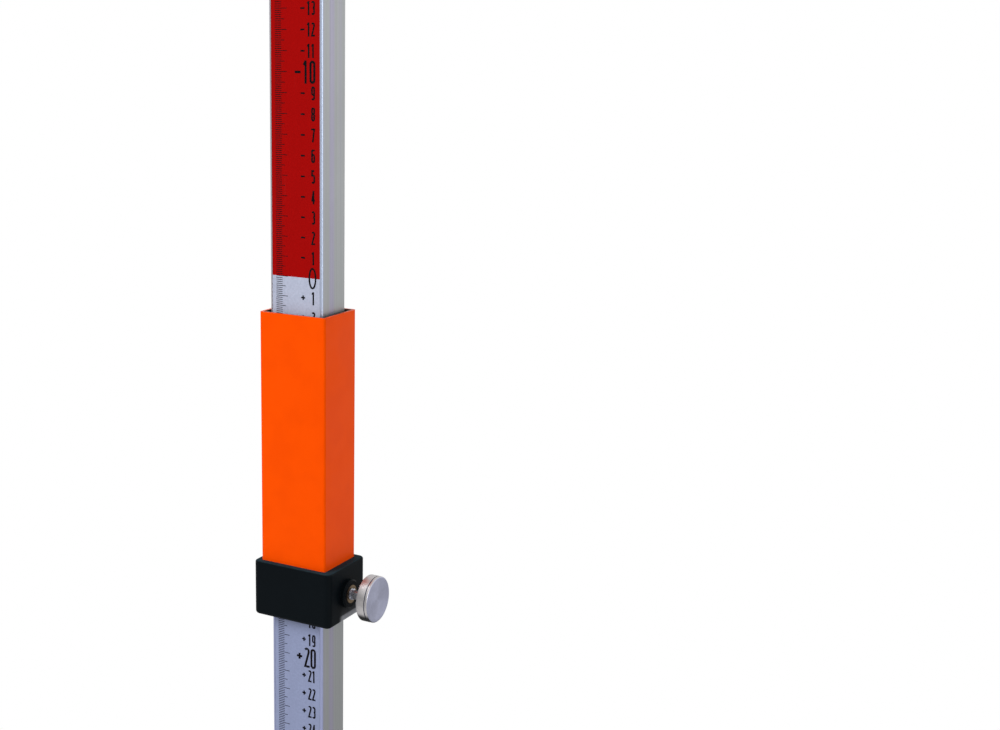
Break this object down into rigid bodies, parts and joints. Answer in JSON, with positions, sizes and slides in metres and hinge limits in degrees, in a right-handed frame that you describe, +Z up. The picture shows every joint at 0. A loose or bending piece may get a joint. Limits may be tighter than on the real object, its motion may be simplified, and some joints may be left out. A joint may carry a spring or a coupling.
{
  "type": "leveling staff",
  "caption": "Telescopic box-section leveling staff with a centimetre scale, a clamped sliding carriage for a laser receiver, a bubble vial, clamp knobs and a foot.",
  "frame": {"origin": "middle of the sole's underside, where the staff stands on the ground", "axes": "+Z up along the staff, -Y out of the printed scale towards the reader, +X towards the clamp knobs"},
  "size_m": [0.0644, 0.0562, 1.4625],
  "materials": {
    "inner_aluminium": "satin anodised",
    "outer_aluminium": "satin anodised",
    "foot_grey": "fine moulded texture",
    "sole_rubber": "matte",
    "black_plastic": "fine moulded texture",
    "knob_black": "satin moulded",
    "runner_plastic": "natural, slightly waxy",
    "scale_red": "printed film",
    "scale_silver": "printed film",
    "orange_coat": "powder coat",
    "insert_brass": "turned",
    "screw_steel": "zinc plated",
    "dark_screws": "blackened",
    "knob_bright": "turned and knurled, plated",
    "vial_clear": "clear",
    "vial_liquid": "clear yellow-green liquid",
    "vial_white": "smooth",
    "scale_ink": "printed ink"
  },
  "bodies": {
    "inner_section": {"inner_tube": "inner_aluminium", "inner_top_guide": "runner_plastic", "foot_sleeve": "foot_grey", "foot_sole": "sole_rubber", "foot_screws": "dark_screws"},
    "outer_section": {"outer_tube": "outer_aluminium", "top_cap": "black_plastic", "red_scale_strip": "scale_red", "silver_scale_strip": "scale_silver", "lower_clamp_body": "black_plastic", "lower_clamp_fixings": "dark_screws", "lower_threaded_insert": "insert_brass", "vial_body": "vial_clear", "vial_base": "vial_white", "vial_liquid": "vial_liquid"},
    "lower_pad": {"lower_pressure_pad": "runner_plastic"},
    "lower_screw": {"lower_stud": "screw_steel", "lower_knob": "knob_black"},
    "carriage": {"carriage_sleeve": "orange_coat", "carriage_top_guide": "black_plastic", "carriage_clamp_body": "black_plastic", "carriage_fixings": "dark_screws", "carriage_threaded_insert": "insert_brass"},
    "carriage_pad": {"carriage_pressure_pad": "runner_plastic"},
    "carriage_screw": {"carriage_stud": "screw_steel", "carriage_knob": "knob_bright"}
  },
  "joints": [
    {"name": "outer_slide", "type": "slide", "parent": "inner_section", "child": "outer_section", "axis": [0, 0, 1], "range_m": [-0.1862, 0.9115]},
    {"name": "lower_pad_slide", "type": "slide", "parent": "outer_section", "child": "lower_pad", "axis": [1, 0, 0], "range_m": [0, 0.0015]},
    {"name": "lower_screw_turn", "type": "hinge", "parent": "lower_pad", "child": "lower_screw", "pos_m": [0, 0, 0.2905], "axis": [1, 0, 0], "range_deg": [0, 545]},
    {"name": "carriage_slide", "type": "slide", "parent": "outer_section", "child": "carriage", "axis": [0, 0, 1], "range_m": [-0.478, 0.5125]},
    {"name": "carriage_pad_slide", "type": "slide", "parent": "carriage", "child": "carriage_pad", "axis": [1, 0, 0], "range_m": [0, 0.0015]},
    {"name": "carriage_screw_turn", "type": "hinge", "parent": "carriage_pad", "child": "carriage_screw", "pos_m": [0, 0, 0.8016], "axis": [1, 0, 0], "range_deg": [0, 545]}
  ],
  "couplings": [
    {"joint": "lower_screw_turn", "follows": "lower_pad_slide", "rad_per_m": 6283.2},
    {"joint": "carriage_screw_turn", "follows": "carriage_pad_slide", "rad_per_m": 6283.2}
  ]
}
